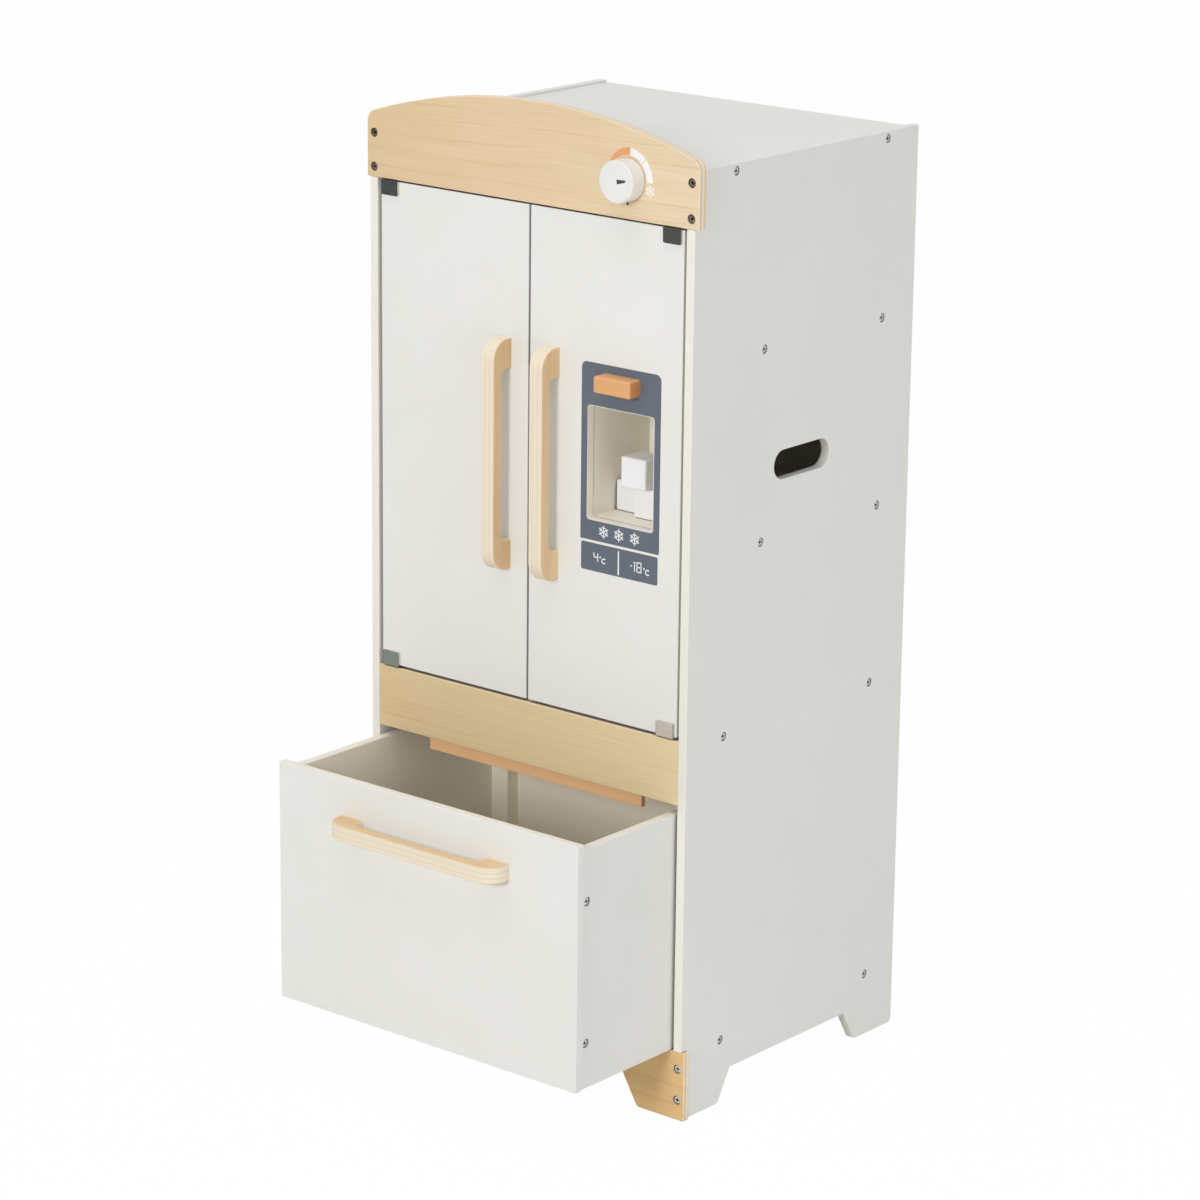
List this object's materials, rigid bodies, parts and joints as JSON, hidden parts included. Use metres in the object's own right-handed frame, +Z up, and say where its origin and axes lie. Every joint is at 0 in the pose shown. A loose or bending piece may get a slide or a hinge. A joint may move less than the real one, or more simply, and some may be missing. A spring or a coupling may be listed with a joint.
{
  "type": "toy refrigerator",
  "caption": "Child's play refrigerator: two hinged doors with pull handles and an ice dispenser over a sliding freezer drawer, with an arched top and a turning dial.",
  "frame": {"origin": "on the floor, at the middle of the cabinet's footprint (the pulled-out drawer isn't counted)", "axes": "+X to the viewer's right, +Y to the back, +Z up"},
  "size_m": [0.408, 0.5155, 0.967],
  "materials": {
    "painted": "white paint on board, satin",
    "pale_wood": "clear lacquer, satin",
    "plywood": "clear lacquer, satin",
    "orange_wood": "orange stain, satin",
    "white_wood": "white paint, satin",
    "steel_screws": "zinc plated",
    "dark_screws": "black",
    "chrome_clips": "bright",
    "nylon": "plain"
  },
  "bodies": {
    "cabinet": {"left_side_panel": "painted", "right_side_panel": "painted", "top_panel": "painted", "back_panel": "painted", "upper_shelf": "painted", "lower_shelf": "painted", "middle_deck": "painted", "bottom_panel": "painted", "header_panel": "pale_wood", "middle_rail": "pale_wood", "plinth_panel": "pale_wood", "drawer_stop": "orange_wood", "side_panel_screws": "steel_screws", "header_screws": "dark_screws", "plinth_screws": "steel_screws", "back_panel_screws": "steel_screws", "drawer_stop_screws": "steel_screws", "rail_dowels": "pale_wood", "pivot_bushes": "nylon", "magnet_block": "painted", "catch_magnets": "steel_screws"},
    "left_door": {"left_door": "painted", "left_door_handle": "plywood", "left_handle_screws": "steel_screws", "left_corner_clips": "chrome_clips", "left_pivot_pins": "steel_screws", "left_strike_plate": "steel_screws"},
    "right_door": {"right_door": "painted", "right_door_handle": "plywood", "right_handle_screws": "steel_screws", "right_corner_clips": "chrome_clips", "right_pivot_pins": "steel_screws", "right_strike_plate": "steel_screws", "dispenser_floor": "painted", "dispenser_roof": "painted", "dispenser_left_wall": "painted", "dispenser_right_wall": "painted", "dispenser_back": "painted", "button_housing": "painted", "button_spring": "steel_screws"},
    "button": {"dispenser_button": "orange_wood"},
    "left_cube": {"ice_cube_left": "white_wood"},
    "right_cube": {"ice_cube_right": "white_wood"},
    "top_cube": {"ice_cube_top": "white_wood"},
    "knob": {"knob": "white_wood", "knob_screw": "steel_screws"},
    "drawer": {"drawer_front": "painted", "drawer_left_side": "painted", "drawer_right_side": "painted", "drawer_back": "painted", "drawer_bottom": "painted", "drawer_corner_battens": "painted", "drawer_handle": "plywood", "drawer_handle_screws": "steel_screws", "drawer_side_screws": "steel_screws"}
  },
  "joints": [
    {"name": "left_door_hinge", "type": "hinge", "parent": "cabinet", "child": "left_door", "pos_m": [-0.1809, -0.1665, 0.6269], "axis": [0, 0, -1], "range_deg": [0, 105]},
    {"name": "right_door_hinge", "type": "hinge", "parent": "cabinet", "child": "right_door", "pos_m": [0.1809, -0.1665, 0.6269], "axis": [0, 0, 1], "range_deg": [0, 105]},
    {"name": "drawer_slide", "type": "slide", "parent": "cabinet", "child": "drawer", "axis": [0, -1, 0], "range_m": [-0.145, 0.154]},
    {"name": "knob_turn", "type": "hinge", "parent": "cabinet", "child": "knob", "pos_m": [0.1205, -0.172, 0.908], "axis": [0, -1, 0], "continuous": true},
    {"name": "button_press", "type": "slide", "parent": "right_door", "child": "button", "axis": [0, 1, 0], "range_m": [0, 0.006], "stiffness_N_per_m": 300, "springref_m": -0.002, "deforming": ["button_spring"]},
    {"name": "left_cube_out", "type": "slide", "parent": "right_door", "child": "left_cube", "axis": [0, -1, 0], "range_m": [0, 0.1]},
    {"name": "right_cube_out", "type": "slide", "parent": "right_door", "child": "right_cube", "axis": [0, -1, 0], "range_m": [0, 0.1]},
    {"name": "top_cube_out", "type": "slide", "parent": "right_door", "child": "top_cube", "axis": [0, -1, 0], "range_m": [0, 0.1]}
  ]
}
